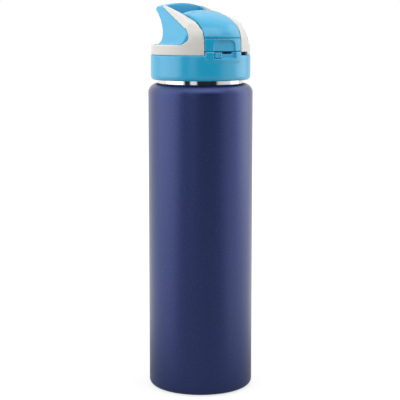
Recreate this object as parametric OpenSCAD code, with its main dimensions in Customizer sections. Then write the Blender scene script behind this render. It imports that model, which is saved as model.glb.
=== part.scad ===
// Insulated drinking bottle: double-walled steel flask, screw collar, flip lid over a soft
// spout, push button and a looped carry handle.
// Origin: on the flask's axis, in the plane it stands on. +Z up, the button faces -Y,
// the handle's tip points to +Y. All lengths in millimetres.

/* [Flask] */
// Outside diameter of the flask's body
body_d = 73; // [72:0.5:76]
// Height of the shoulder above the standing plane
shoulder_z = 215.2; // [150:0.2:260]
// Thickness of each steel wall
wall = 0.6; // [0.5:0.1:0.8]
// Vacuum gap between the outer shell and the liner
vacuum_gap = 3.6; // [3:0.2:4.6]
// Radius of the shoulder's rounded edge
shoulder_round = 6.9; // [5:0.1:9]
// Radius of the rounded edge round the base
base_round = 4; // [3:0.5:6]
// Width of the flat ring that the flask stands on
foot_w = 1.8; // [1.2:0.2:2.6]
// Depth of the recess under the base
base_recess = 1.6; // [1:0.2:2.4]
// Space between the base disc and the liner's bottom
base_gap = 5; // [4:0.5:9]
// Diameter of the getter pill in the vacuum
getter_d = 11; // [8:0.5:14]
// Diameter of the glass plug that closes the vacuum
plug_d = 3; // [2:0.5:4]

/* [Neck] */
// Outside diameter of the neck
neck_d = 58.8; // [57:0.2:60]
// Height of the neck above the shoulder
neck_h = 15.8; // [14:0.2:16.4]
// Rise of the thread in one turn
pitch = 4; // [3.6:0.1:4.4]
// Radial height of the thread
thread_h = 1.3; // [1:0.1:1.5]
// Number of turns of each thread
thread_turns = 1.5; // [1:0.25:1.5]
// Height of the ring gasket
gasket_h = 1.6; // [1.2:0.1:2]

/* [Collar] */
// Outside diameter of the screw collar
collar_d = 69.4; // [68:0.2:71]
// Height of the screw collar
collar_h = 17.1; // [16.6:0.1:19]
// Height of polished neck that shows under the collar
neck_show = 2.5; // [1.5:0.1:3.5]
// Height of the sloped edge at the collar's foot
collar_chamfer = 2; // [1:0.2:3]
// How far the front panel stands out of the collar
panel_proud = 0.5; // [0.3:0.1:0.9]
// How far the front panel reaches below the collar's top
panel_drop = 4.1; // [3:0.1:7]
// Radius of the front panel's lower corners
panel_round = 3; // [1:0.5:4]

/* [Handle] */
// Height of the white ring
ring_h = 7.1; // [5:0.1:7.6]
// Thickness of the white ring and of the white rails
rail_wall = 2.2; // [1.8:0.1:2.8]
// How far the white rails stand proud of the blue sides
rail_proud = 0.6; // [0.4:0.1:1]
// Height of the rails' top line above the collar, on the axis
rail_mid = 28.2; // [27.4:0.1:29.4]
// Rise of the rails' top line for each millimetre towards the tip
rail_slope = 0.262; // [0.24:0.002:0.28]
// Height of the handle's tip above the collar
tip_h = 36.4; // [35:0.1:37.2]
// Reach of the handle's tip from the axis
tip_reach = 37; // [35:0.1:37]
// Thickness of the handle's bridge
bridge_w = 11.5; // [10:0.1:13]
// Half width of the handle's sides half way up
side_w = 21; // [20.4:0.1:22]
// Inward lean of the handle's sides, in millimetres a millimetre
side_lean = 0.44; // [0.4:0.01:0.48]
// Radius of the cove between the ring and the handle's sides
cove_r = 5; // [3:0.5:6]
// Place along Y of the scoop's deepest reach, where the finger goes in
scoop_y = 10.6; // [10:0.2:14]
// Thickness of the wall that carries the hinge
hinge_wall = 2.6; // [2:0.2:3.2]

/* [Lid] */
// Width of the lid and of the button
lid_w = 28.2; // [26:0.1:28.8]
// Height of the lid's crown above the collar
lid_top = 30.7; // [29.8:0.1:31.6]
// Thickness of the lid's shell
lid_wall = 1.8; // [1.4:0.1:2.2]
// Height of the line between the button and the lid, above the collar
lid_line = 11.8; // [10.8:0.1:12.6]
// Place of the hinge pin along Y
hinge_y = -2.4; // [-3:0.1:-1.6]
// Height of the hinge pin above the collar
hinge_u = 23.7; // [23:0.1:24.2]
// Radius of the lid's round back, about the hinge pin
knuckle_r = 6.9; // [6.2:0.1:7]
// Diameter of the hinge pin
pin_d = 3; // [2.5:0.1:3.4]
// Wire diameter of the lid's spring
lid_wire = 0.8; // [0.6:0.1:1]

/* [Button and lock] */
// Height of the button's lower edge above the collar
button_foot = 2.8; // [2.4:0.1:3.4]
// Inward travel of the button
button_travel = 1.6; // [1:0.1:1.8]
// Half width of the thumb recess
recess_w = 8.3; // [7:0.1:9]
// Radius of the thumb recess's upper corners
recess_round = 4; // [2:0.5:6]
// Depth of the thumb recess at the middle
recess_deep = 1.8; // [1.2:0.1:2.2]
// Width of the lock's knob
lock_w = 6; // [4.5:0.1:6.6]
// Wire diameter of the button's spring
button_wire = 0.7; // [0.5:0.1:0.8]

/* [Spout] */
// Place of the spout along Y
spout_y = -12; // [-12.6:0.1:-11.4]
// Height of the spout above the deck
spout_h = 19.5; // [15:0.1:20]
// Outside diameter of the spout at its foot
spout_d = 16; // [14:0.2:16.6]
// Outside diameter of the spout at its tip
spout_tip_d = 13; // [11:0.2:13.6]
// Wall of the spout
spout_wall = 2; // [1.6:0.1:2.4]
// Diameter of the air valve's head
valve_d = 5; // [4:0.2:5.6]

/* [Hidden] */

// Clearance between pieces that move on each other
fit = 0.3;
// Clearance between pieces that are fastened to each other
seam = 0.1;
// Radial clearance of the hinge pin in the lid
pin_fit = 0.05;
// Radial clearance between the crests and walls of the threads
thread_clear = 0.4;
// Height above the collar at which the dome begins
dome_foot = 5.2;
// Height above the collar at which the rails' outer face turns upright
rail_upright = 20;
// Sag of the rails' top line, in millimetres a square millimetre
rail_sag = 0.00105;
// Depth of each rail on the axis, and how fast it narrows to the tip
rail_depth = 3.9;
rail_taper = 0.07;
// Rear edge of each rail's foot, and the radius of its two corners
post_y = -24.1;
post_round = 5.4;
// Height and start, in degrees from the front, of the small slot in the ring
vent_h = 2.1;
vent_turn = 24;
vent_w = 9.5;
vent_deep = 6;
// Radius of the lid's crown across its width
crown_r = 38.5;
// Height above the collar of the notch that the lock's shank passes through
notch_u = 1.2;
// Place along Y behind which the dome no longer bounds the handle
front_end = -5;
// Smallest rounding left where an outline is drawn inside the skin
least_round = 0.5;
// Rounding of the handle's tip above, and of its lip below
tip_round = 4;
lip_round = 1.5;
// Depth of the handle's tip
tip_depth = 6.6;
// Radius of the handle's tip across its width
tip_crown_r = 49;
// How far the bridge's inner face leans back at its top
bridge_lean = 1;
// Radius of the scoop's foot, and the pull of its back line towards the deepest reach
scoop_r = 3.6;
scoop_pull = 3.4;
scoop_u = 11.6;
// Thickness of the deck's upper part above the collar's top
deck_top = 0.2;
// Radius of the corner between the liner's wall and its bottom
liner_round = 5;
// Width of the rolled lip round the mouth
lip_w = 2;
// Depths below the shoulder at which the liner's taper starts and ends
taper_low = 14;
taper_high = 5;
// Half widths of the thread's root and crest
thread_root = 1;
thread_crest = 0.45;
// Height from the collar's foot to the middle of the neck's first thread turn
thread_lead = 2.9;
// Place, foot, width and depth of the two catches that hang from the lid behind the button
catch_x = 5;
catch_y = -27;
catch_u = 10.2;
catch_w = 2.8;
catch_deep = 1.3;
// Radius and height of the lid's seal, and of its nib that closes the spout
seal_r = 5.4;
seal_h = 2.5;
nib_r = 3.2;
nib_h = 1.6;
nib_taper = 1;
// Thickness of the plate in the lid, its distance from the hinge, and the cup round the seal
plate_h = 1.5;
plate_back = 5.2;
cup_h = 1.4;
cup_wall = 1.3;
// Distance from the lid's boss to the last turn of its spring, its turns, and the reach of its leg
spring_gap = 1.1;
spring_turns = 4;
leg_reach = 7.5;
// Radius and turns of the button's spring, and its length when it is pressed flat
push_r = 2.4;
push_turns = 4;
push_solid = 3.1;
// Distance from the recess's floor to the back of the button, at its middle
button_wall = 2.7;
// Thickness and half width of the wall behind the button
rest_wall_t = 1.4;
rest_half = 11;
// Place and radius of the button's two guide stems, and radius and reach of its spring seat
stem_x = 8;
stem_r = 1.2;
stem_reach = 1.4;
seat_r = 1.7;
seat_reach = 2.2;
// Sinking of the stems and the seat into the button
root = 0.5;
// Distance from the top of the thumb recess to the button's upper edge
recess_rim = 1.3;
// Foot of the lock's knob, and its thickness
knob_low = -1.7;
knob_t = 1;
// Spacing, half width and height of the ribs on the lock's knob
rib_step = 1.8;
rib_half = 0.35;
rib_h = 0.4;
// Half widths of the lock's shank and of its foot behind the panel
shank_half = 1;
tail_half = 2;
// Distance from the recess's floor to the panel's back, and from there to the lock's foot's back
panel_t = 2.2;
tail_t = 1;
// How much smaller the spout's hole in the deck is than the spout's foot, in radius
spout_step = 1;
// Width and height of the spout's flange, and of the rim of the ring that holds it down
flange_w = 1.6;
flange_h = 1.2;
rim_w = 1.2;
rim_h = 2.4;
// Depth and slack of the spout's plug in the deck, and height of the slope at its tip
plug_h = 1.4;
plug_slack = 0.4;
tip_slope = 1.5;
// Height of the air valve's head, and width and height of its foot
valve_h = 0.8;
valve_foot_w = 0.7;
valve_foot_h = 0.9;
// Gap from the mouth to the collar's guide ring, and the ring's wall and drop below the gasket
guide_gap = 0.8;
guide_wall = 1.4;
guide_drop = 2;
// Width of the sloped edge at the collar's foot
chamfer_w = 1.2;
// The lid's lower line behind: distance in front of the button's wall and of the hinge, and
// depth below the hinge
lid_step = 3;
lid_slope = 4.4;
// Rise of the back corner of the lid's lower line above the hinge
lid_heel = 0.4;
// Distance from the hinge pin down to the top of the wall behind the lid
wall_drop = 1.2;
// Width of the boss round the pin in the lid's sides
eye_w = 2.2;
// Bore of the hinge pin in the handle, and depth of its seats beside the slot
pin_press = 0.02;
pin_seat = 2;
// Width and height of the vacuum plug's head
plug_head_w = 1;
plug_head_h = 0.6;
// Segments in one turn of a thread and of a spring, and sides of a wire
turn_steps = 36;
wire_steps = 16;
wire_sides = 8;
// Segments over which a thread rises at its ends
run_in = 4;
// Segments in the dome's outline, in a large round and in a small one
steps = 14;
large = 10;
small = 5;
// How far a cut reaches past what it cuts, and how far the cap's blocks start below the collar's top
over = 1;
under = 2;

body_r = body_d / 2;
neck_r = neck_d / 2;
collar_r = collar_d / 2;
dome_r = collar_r - 0.3;
ring_r = dome_r;
core_r = ring_r - rail_wall - seam;
foot_r = body_r - base_round - foot_w;
rim_z = shoulder_z + neck_h;
seat_z = shoulder_z + neck_show + collar_h;
liner_r = body_r - wall - vacuum_gap;
liner_z = base_recess + wall + base_gap;
bore_r = neck_r + thread_h + thread_clear;
gasket_z = rim_z + fit / 2;
deck_low = gasket_z + gasket_h + fit / 2 - seat_z;
mouth_r = neck_r - lip_w;
guide_r = mouth_r - guide_gap;
slot_w = lid_w / 2 + fit;
half_lid = lid_w / 2;
far = body_d;
shoulder_r = min(shoulder_round, body_r - neck_r - 2 * seam);
half_u = (ring_h + tip_h) / 2;
lean_k = sqrt(1 + side_lean * side_lean);
wall_y = hinge_y + knuckle_r + fit + 0.1;
bridge_y = tip_reach - bridge_w;
panel_r = collar_r + panel_proud;
recess_y = -(dome_r - recess_deep);
plate_y = recess_y + button_wall;
rest_y = plate_y + button_travel + push_solid;
spout_r = spout_d / 2;
flange_r = spout_r + flange_w;
hole_r = spout_r - spout_step;
spout_foot = deck_top + seam;
seal_u = spout_foot + spout_h + fit;
valve_y = (spout_y + flange_r + rim_w + wall_y) / 2;
button_mid = (button_foot + lid_line) / 2;
panel_top = button_foot - fit / 2;
spring_half = spring_turns * (lid_wire + seam) / 2;
spring_x = half_lid - 2 * lid_wall - spring_half - spring_gap;

$fn = 128;

function arc(cx, cy, r, from, to, n) =
    [for (i = [0:n]) let (a = from + (to - from) * i / n) [cx + r * cos(a), cy + r * sin(a)]];

function bend(a, b, c, n) =
    [for (i = [0:n]) let (t = i / n) (1 - t) * (1 - t) * a + 2 * t * (1 - t) * b + t * t * c];

function rail_top(y) = rail_mid + rail_slope * y - rail_sag * y * y;
function rail_low(y) = rail_mid - rail_depth + (rail_slope + rail_taper) * y;
function side_x(u) = side_w - side_lean * (u - half_u);
function dome_at(t) = pow(1 - t * t * t, 2 / 3);

// Closed tube through rings of m points each
module sweep(rings) {
    m = len(rings[0]);
    n = len(rings);
    skin = [for (i = [0:n - 2], j = [0:m - 1])
        let (a = i * m + j, b = i * m + (j + 1) % m)
        each [[a, b, b + m], [a, b + m, a + m]]];
    first = [[for (j = [m - 1:-1:0]) j]];
    last = [[for (j = [0:m - 1]) (n - 1) * m + j]];
    polyhedron(points = [for (r = rings) each r], faces = concat(skin, first, last));
}

// Screw thread that starts at height z, with its root at root_r and its crest at crest_r
module thread(root_r, crest_r, z) {
    n = round(thread_turns * turn_steps);
    sweep([for (i = [0:n])
        let (
            a = i * 360 / turn_steps,
            h = z + pitch * a / 360,
            rise = min(1, (min(i, n - i) + 1) / run_in),
            crest = root_r + (crest_r - root_r) * rise,
            section = [[root_r, -thread_root], [crest, -thread_crest],
                       [crest, thread_crest], [root_r, thread_root]]
        )
        [for (p = root_r < crest_r ? section : [for (k = [3:-1:0]) section[k]])
            [p[0] * cos(a), p[0] * sin(a), h + p[1]]]]);
}

// Round wire along a path of points, each with its direction across
module wire(path, r) {
    n = len(path);
    sweep([for (i = [0:n - 1])
        let (
            t = path[min(i + 1, n - 1)] - path[max(i - 1, 0)],
            d = t / norm(t),
            side = cross(d, abs(d[2]) > 0.9 ? [1, 0, 0] : [0, 0, 1]),
            s = side / norm(side),
            up = cross(s, d)
        )
        [for (k = [0:wire_sides - 1])
            path[i] + r * (cos(360 * k / wire_sides) * s + sin(360 * k / wire_sides) * up)]]);
}

// Anything above the collar's top, in the cap's own height
module on_collar() {
    translate([0, 0, seat_z]) children();
}

// Bar along X with its middle on the axis, through the point (y, u)
module cross_bar(y, u, r, half) {
    translate([0, y, u]) rotate([0, 90, 0]) cylinder(r = r, h = 2 * half, center = true);
}

// Solid whose outline is seen from the side, as wide as 2 * half
module from_side(half) {
    rotate([90, 0, 90]) linear_extrude(height = 2 * half, center = true) children();
}

// Box between two corners
module block(low, high) {
    translate(low) cube(high - low);
}

// Crown across the cap's width: a cylinder along Y with its top at the height top, d inside it
module vault(top, r, d) {
    translate([0, 0, top - r]) rotate([90, 0, 0]) cylinder(r = r - d, h = 2 * far, center = true);
}

// Dome over the cap, d inside its skin
module dome(d) {
    rise = lid_top - dome_foot - d;
    rotate_extrude() polygon(concat(
        [[0, -under], [dome_r - d, -under]],
        [for (i = [0:steps])
            let (t = sin(90 * i / steps)) [(dome_r - d) * dome_at(t), dome_foot + rise * t]]));
}

// The dome's lower part, upright above, which bounds the rails' fronts
module rail_front(d) {
    rise = lid_top - dome_foot - d;
    share = (rail_upright - dome_foot) / (lid_top - dome_foot);
    high = [for (i = [0:steps])
        let (t = share * i / steps) [(dome_r - d) * dome_at(t), dome_foot + rise * t]];
    rotate_extrude() polygon(concat(
        [[0, -under], [dome_r - d, -under]], high,
        [[high[steps][0], tip_h + under], [0, tip_h + under]]));
}

// Outline of the handle from the front, d inside its skin
module front_outline(d) {
    cove_x = side_x(ring_h + cove_r) + cove_r * lean_k;
    lean = atan(side_lean);
    edge = max(tip_round - d, least_round);
    edge_u = tip_h - d - edge;
    edge_x = side_x(edge_u) - (d + edge) * lean_k;
    half = concat(
        [[dome_r + over, -under], [dome_r + over, ring_h - d]],
        arc(cove_x, ring_h + cove_r, cove_r + d, 270, 180 + lean, small),
        arc(edge_x, edge_u, edge, lean, 90, small));
    polygon(concat(half, [for (i = [len(half) - 1:-1:0]) [-half[i][0], half[i][1]]]));
}

// Outline of the handle from the side, d inside its skin, with the bridge's top left square
module side_outline(d) {
    tip_u = tip_h - tip_depth + d;
    top = max(tip_round - d, least_round);
    lip = max(lip_round - d, least_round / 2);
    ledge = tip_h - d + fit;
    polygon(concat(
        [[-dome_r - under, -under]],
        [for (y = [-dome_r - under:6:bridge_y - over]) [y, rail_top(y) - d]],
        [[bridge_y, rail_top(bridge_y) - d], [bridge_y + bridge_lean, ledge],
         [tip_reach - d - top, ledge]],
        arc(tip_reach - d - top, tip_h - d - top, top, 80, 0, small),
        arc(tip_reach - d - lip, tip_u + lip, lip, 0, -60, small),
        bend([tip_reach - d - 2 * lip_round, tip_u - lip_round / 2],
             [scoop_y + scoop_pull - d, ring_h + scoop_u + d], [scoop_y - d, ring_h + scoop_r],
             large),
        arc(scoop_y + scoop_r, ring_h + scoop_r, scoop_r + d, 190, 270, small),
        [[dome_r + under, ring_h - d], [dome_r + under, -under]]));
}

// The whole handle as one block, d inside its skin
module handle_block(d) {
    intersection() {
        rotate([90, 0, 0]) linear_extrude(height = 2 * far, center = true) front_outline(d);
        from_side(dome_r + under) side_outline(d);
        vault(tip_h, tip_crown_r, d);
        union() {
            rail_front(d);
            block([-dome_r, front_end, -under], [dome_r, tip_reach + over, tip_h + under]);
        }
    }
}

// Side outline of the zone that belongs to the white rails, grown by d
module rail_outline(d) {
    foot = ring_h - d;
    edge = post_y + d;
    inner = edge + post_round;
    polygon(concat(
        [[bridge_y + d, tip_h + under], [bridge_y + d, rail_low(bridge_y) - d]],
        bend([inner, rail_low(inner - d) - d], [edge, rail_low(post_y) - d],
             [edge, ring_h + 0.93 * post_round], small),
        bend([edge, ring_h + 0.8 * post_round], [edge, foot], [inner, foot], small),
        [[inner, ring_h - under], [-dome_r - under, ring_h - under],
         [-dome_r - under, tip_h + under]]));
}

// Points of a helix of wire about Z, which climbs its length in so many turns
function coil(r, length, turns) =
    [for (i = [0:turns * wire_steps])
        let (a = 360 * i / wire_steps)
        [r * cos(a), r * sin(a), length * i / (turns * wire_steps)]];

module outer_shell() {
    top = shoulder_z - shoulder_r;
    color([0.13, 0.17, 0.33]) rotate_extrude() polygon(concat(
        [[foot_r, base_recess + wall], [foot_r, 0]],
        arc(body_r - base_round, base_round, base_round, -90, 0, large),
        arc(body_r - shoulder_r, top, shoulder_r, 0, 90, large),
        [[neck_r + seam, shoulder_z], [neck_r + seam, shoulder_z - wall]],
        arc(body_r - shoulder_r, top, shoulder_r - wall, 90, 0, large),
        arc(body_r - base_round, base_round, base_round - wall, 0, -90, large),
        [[foot_r + wall, wall], [foot_r + wall, base_recess + wall]]));
}

module outer_base() {
    color("silver") translate([0, 0, base_recess]) difference() {
        cylinder(r = foot_r - seam, h = wall);
        translate([0, 0, -over]) cylinder(r = plug_d / 2 + seam, h = wall + 2 * over);
    }
}

module vacuum_plug() {
    color("dimgray") translate([0, 0, base_recess]) union() {
        cylinder(r = plug_d / 2, h = wall + seam + plug_head_h / 2);
        translate([0, 0, wall + seam]) cylinder(r = plug_d / 2 + plug_head_w, h = plug_head_h);
    }
}

module getter() {
    color("gray") translate([getter_d, 0, base_recess + wall + seam])
        cylinder(r = getter_d / 2, h = base_gap / 3);
}

module liner() {
    low = liner_z + liner_round + seam;
    color("silver") union() {
        rotate_extrude() polygon(concat(
            [[liner_r, low], [liner_r, shoulder_z - taper_low], [neck_r, shoulder_z - taper_high]],
            arc(neck_r - lip_w / 2, rim_z - lip_w / 2, lip_w / 2, 0, 180, large),
            [[mouth_r, rim_z - lip_w], [neck_r - wall, rim_z - lip_w],
             [neck_r - wall, shoulder_z - taper_high], [liner_r - wall, shoulder_z - taper_low],
             [liner_r - wall, low]]));
        thread(neck_r - wall / 2, neck_r + thread_h, seat_z - collar_h + thread_lead);
    }
}

module liner_bottom() {
    color("silver") rotate_extrude() polygon(concat(
        [[0, liner_z]],
        arc(liner_r - liner_round, liner_z + liner_round, liner_round, -90, 0, large),
        arc(liner_r - liner_round, liner_z + liner_round, liner_round - wall, 0, -90, large),
        [[0, liner_z + wall]]));
}

module neck_gasket() {
    color("white") translate([0, 0, gasket_z]) difference() {
        cylinder(r = bore_r - 2 * fit, h = gasket_h);
        translate([0, 0, -over]) cylinder(r = guide_r + fit, h = gasket_h + 2 * over);
    }
}

// Front panel under the button
module front_panel() {
    back = recess_y + panel_t;
    drop = panel_drop + over;
    difference() {
        intersection() {
            translate([0, 0, -panel_drop]) cylinder(r = panel_r, h = panel_drop + panel_top);
            rotate([90, 0, 0]) linear_extrude(height = panel_r) union() {
                translate([-half_lid, panel_round - panel_drop])
                    square([lid_w, panel_drop + panel_top - panel_round]);
                translate([panel_round - half_lid, -panel_drop])
                    square([lid_w - 2 * panel_round, panel_round + over]);
                for (s = [-1, 1])
                    translate([s * (half_lid - panel_round), panel_round - panel_drop])
                        circle(r = panel_round);
            }
        }
        block([-panel_r, back, deck_top], [panel_r, panel_r, panel_top + over]);
        translate([0, 0, -drop]) cylinder(r = collar_r - over, h = drop + deck_top - seam);
    }
}

// Recess in the panel that the lock's knob slides in, and the slot behind it for its shank
module lock_track() {
    reach = recess_w - lock_w / 2 + shank_half + fit / 2;
    high = panel_top + over;
    block([-recess_w, -panel_r - over, knob_low - fit], [recess_w, recess_y, high]);
    block([-reach, recess_y - over, notch_u], [reach, recess_y + panel_t + over, high]);
}

module collar() {
    foot = -collar_h;
    guide_h = gasket_h + guide_drop;
    deep = deck_top - deck_low + 2 * over;
    color([0.35, 0.68, 0.84]) on_collar() difference() {
        union() {
            rotate_extrude() polygon([
                [bore_r, foot], [collar_r - chamfer_w, foot], [collar_r, foot + collar_chamfer],
                [collar_r, 0], [core_r, 0], [core_r, deck_top], [0, deck_top],
                [0, deck_low], [bore_r, deck_low]]);
            thread(bore_r + wall / 2, bore_r - thread_h, foot + thread_lead + pitch / 2);
            translate([0, 0, deck_low - guide_h]) difference() {
                cylinder(r = guide_r, h = guide_h + over / 2);
                translate([0, 0, -over]) cylinder(r = guide_r - guide_wall, h = guide_h + 2 * over);
            }
            front_panel();
            rest_wall();
        }
        lock_track();
        translate([0, spout_y, deck_low - over]) cylinder(r = hole_r, h = deep);
        translate([0, valve_y, deck_low - over]) cylinder(r = valve_d / 4, h = deep);
    }
}

// Wall behind the button, which holds its spring and its two guide stems
module rest_wall() {
    difference() {
        block([-rest_half, rest_y, deck_top - root],
              [rest_half, rest_y + rest_wall_t, lid_line - under]);
        for (s = [-1, 1])
            translate([s * stem_x, rest_y - over, button_mid]) rotate([-90, 0, 0])
                cylinder(r = stem_r + fit, h = rest_wall_t + 2 * over);
    }
}

// Small slot in the ring beside the panel, from radius low outwards
module vent(low) {
    rotate([0, 0, vent_turn - 90]) block([low, 0, -over], [far, vent_w, deck_top + vent_h]);
}

module ring_and_rails() {
    color([0.88, 0.88, 0.87]) on_collar() difference() {
        union() {
            difference() {
                translate([0, 0, seam]) cylinder(r = ring_r, h = ring_h - seam);
                translate([0, 0, -over]) cylinder(r = ring_r - rail_wall, h = ring_h + 2 * over);
            }
            intersection() {
                from_side(dome_r + under) rail_outline(0);
                difference() {
                    handle_block(0);
                    handle_block(rail_wall);
                }
            }
        }
        block([-slot_w, -far, -over], [slot_w, bridge_y + over, far]);
        vent(core_r - over);
    }
}

module handle() {
    bed = deck_top + seam;
    floor_u = ring_h - rail_proud;
    color([0.42, 0.74, 0.87]) on_collar() difference() {
        union() {
            difference() {
                handle_block(rail_proud);
                from_side(far) rail_outline(seam);
            }
            handle_block(rail_wall + seam);
        }
        block([-far, -far, -far], [far, far, bed]);
        difference() {
            translate([0, 0, -over]) cylinder(r = far, h = ring_h + over + seam);
            translate([0, 0, -under]) cylinder(r = core_r, h = ring_h + 2 * under);
        }
        block([-slot_w, -far, -over], [slot_w, wall_y, far]);
        block([-slot_w, wall_y - over, hinge_u - wall_drop], [slot_w, bridge_y, far]);
        block([-slot_w, wall_y + hinge_wall, floor_u], [slot_w, bridge_y, far]);
        cross_bar(hinge_y, hinge_u, pin_d / 2 + pin_press, slot_w + pin_seat + seam);
        vent(core_r - vent_deep);
    }
}

module spout() {
    foot = spout_foot;
    tip = foot + spout_h;
    tip_r = spout_tip_d / 2;
    plug_r = spout_r - plug_slack;
    color([0.93, 0.94, 0.95]) on_collar() translate([0, spout_y, 0]) rotate_extrude() polygon([
        [hole_r - spout_wall, deck_low - plug_h], [plug_r, deck_low - plug_h],
        [plug_r, deck_low - seam], [hole_r - seam, deck_low - seam],
        [hole_r - seam, foot], [flange_r, foot], [flange_r, foot + flange_h],
        [spout_r, foot + flange_h], [tip_r, tip - tip_slope], [tip_r - spout_wall / 2, tip],
        [tip_r - spout_wall, tip]]);
}

module spout_retainer() {
    foot = spout_foot;
    shelf = foot + flange_h + seam;
    color([0.35, 0.68, 0.84]) on_collar() translate([0, spout_y, 0]) rotate_extrude() polygon([
        [flange_r + seam, foot], [flange_r + rim_w, foot], [flange_r + rim_w, foot + rim_h],
        [spout_r + seam, foot + rim_h], [spout_r + seam, shelf], [flange_r + seam, shelf]]);
}

module air_valve() {
    stem = valve_d / 4 - seam;
    low = deck_low - seam - valve_foot_h;
    color("white") on_collar() translate([0, valve_y, 0]) union() {
        translate([0, 0, spout_foot]) cylinder(r = valve_d / 2, h = valve_h);
        translate([0, 0, low]) cylinder(r = stem, h = spout_foot + valve_h / 2 - low);
        translate([0, 0, low]) cylinder(r = stem + valve_foot_w, h = valve_foot_h);
    }
}

module hinge_pin() {
    color("silver") on_collar() cross_bar(hinge_y, hinge_u, pin_d / 2, slot_w + pin_seat);
}

// Spring that lifts the lid: one leg under the lid's liner, the other end hooked in the pin
module lid_spring() {
    half = spring_half;
    r = pin_d / 2 + lid_wire + fit;
    leg_u = seal_u + seal_h + seam - hinge_u - lid_wire / 2 - fit;
    leg = [for (y = [-leg_reach, 2 - leg_reach, -r - lid_wire]) [half, y, leg_u]];
    turns_of_wire = [for (p = coil(r, 2 * half, spring_turns)) [half - p[2], -p[0], p[1]]];
    hook = [-half, -pin_d / 2 - lid_wire / 2 - seam, lid_wire / 2];
    color("silver") on_collar() translate([spring_x, hinge_y, hinge_u])
        wire(concat(leg, turns_of_wire, [hook]), lid_wire / 2);
}

module button_spring() {
    gap = fit / 2;
    length = rest_y - plate_y - 2 * gap - button_wire;
    color("silver") on_collar() translate([0, plate_y + gap + button_wire / 2, button_mid])
        rotate([-90, 0, 0]) wire(coil(push_r, length, push_turns), button_wire / 2);
}

// Thumb recess with rounded upper corners, up to the height top
module thumb_recess(top) {
    low = -panel_drop;
    translate([0, recess_y, 0]) rotate([90, 0, 0]) linear_extrude(height = collar_r) union() {
        translate([-recess_w, low]) square([2 * recess_w, top - low - recess_round]);
        translate([recess_round - recess_w, low])
            square([2 * (recess_w - recess_round), top - low]);
        for (s = [-1, 1])
            translate([s * (recess_w - recess_round), top - recess_round]) circle(r = recess_round);
    }
}

module push_button() {
    low = button_foot + fit / 2;
    high = lid_line - fit / 2;
    color([0.25, 0.62, 0.78]) on_collar() union() {
        difference() {
            intersection() {
                dome(0);
                block([-half_lid, -far, low], [half_lid, plate_y, high]);
            }
            thumb_recess(high - recess_rim);
        }
        translate([0, plate_y - root, button_mid]) rotate([-90, 0, 0])
            cylinder(r = seat_r, h = seat_reach);
        for (s = [-1, 1])
            translate([s * stem_x, plate_y - root, button_mid]) rotate([-90, 0, 0])
                cylinder(r = stem_r, h = rest_y - plate_y + stem_reach);
    }
}

module lock_slider() {
    x = lock_w / 2 + fit - recess_w;
    top = button_foot - 2 * fit;
    face = recess_y - fit;
    front = face - knob_t;
    back = recess_y + panel_t + fit;
    color([0.42, 0.74, 0.87]) on_collar() translate([x, 0, 0]) union() {
        block([-lock_w / 2, front, knob_low], [lock_w / 2, face, top]);
        for (i = [-1:1])
            translate([i * rib_step, 0, 0])
                block([-rib_half, front - rib_h, knob_low + root],
                      [rib_half, front + seam, top - root]);
        block([-shank_half, face - seam, notch_u + fit], [shank_half, back + fit, top]);
        block([-tail_half, back, deck_top + fit], [tail_half, recess_y + panel_t + tail_t, top]);
    }
}

// Side outline of the lid, from its front edge to its round back
module lid_outline() {
    foot = lid_line + fit / 2;
    back = hinge_y + knuckle_r + over;
    polygon([[-far, foot], [rest_y - lid_step, foot], [hinge_y - lid_step, hinge_u - lid_slope],
             [back, hinge_u + lid_heel], [back, tip_h], [-far, tip_h]]);
}

// Lid as one block, d inside its skin
module lid_block(d) {
    intersection() {
        union() {
            intersection() {
                dome(d);
                block([-far, -far, -fit], [far, hinge_y, tip_h]);
            }
            cross_bar(hinge_y, hinge_u, knuckle_r - d, half_lid + over);
        }
        vault(lid_top, crown_r, d);
    }
}

module lid_shell() {
    color([0.45, 0.76, 0.88]) on_collar() difference() {
        union() {
            intersection() {
                difference() {
                    lid_block(0);
                    intersection() {
                        lid_block(lid_wall);
                        block([lid_wall - half_lid, -far, -fit], [half_lid - lid_wall, far, far]);
                    }
                }
                from_side(half_lid) lid_outline();
            }
            for (s = [-1, 1])
                translate([s * (half_lid - lid_wall), 0, 0])
                    cross_bar(hinge_y, hinge_u, pin_d / 2 + eye_w, lid_wall);
            intersection() {
                dome(lid_wall / 2);
                for (s = [-1, 1])
                    translate([s * catch_x - catch_w / 2, catch_y, catch_u])
                        cube([catch_w, catch_deep, hinge_u - catch_u]);
            }
        }
        cross_bar(hinge_y, hinge_u, pin_d / 2 + pin_fit, far);
    }
}

module lid_liner() {
    low = seal_u + seal_h + seam;
    color([0.9, 0.9, 0.9]) on_collar() union() {
        intersection() {
            dome(lid_wall + seam);
            block([lid_wall + seam - half_lid, -far, low],
                  [half_lid - lid_wall - seam, hinge_y - plate_back, low + plate_h]);
        }
        translate([0, spout_y, low - cup_h]) difference() {
            cylinder(r = seal_r + seam + cup_wall, h = cup_h + seam);
            translate([0, 0, -over]) cylinder(r = seal_r + seam, h = cup_h + 2 * over);
        }
    }
}

module lid_seal() {
    color("white") on_collar() translate([0, spout_y, seal_u]) union() {
        cylinder(r = seal_r, h = seal_h);
        translate([0, 0, -nib_h]) cylinder(r1 = nib_r - nib_taper, r2 = nib_r, h = nib_h + seam);
    }
}

outer_shell();
outer_base();
vacuum_plug();
getter();
liner();
liner_bottom();
neck_gasket();
collar();
ring_and_rails();
handle();
spout();
spout_retainer();
air_valve();
hinge_pin();
lid_spring();
button_spring();
lock_slider();
push_button();
lid_shell();
lid_liner();
lid_seal();
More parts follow.
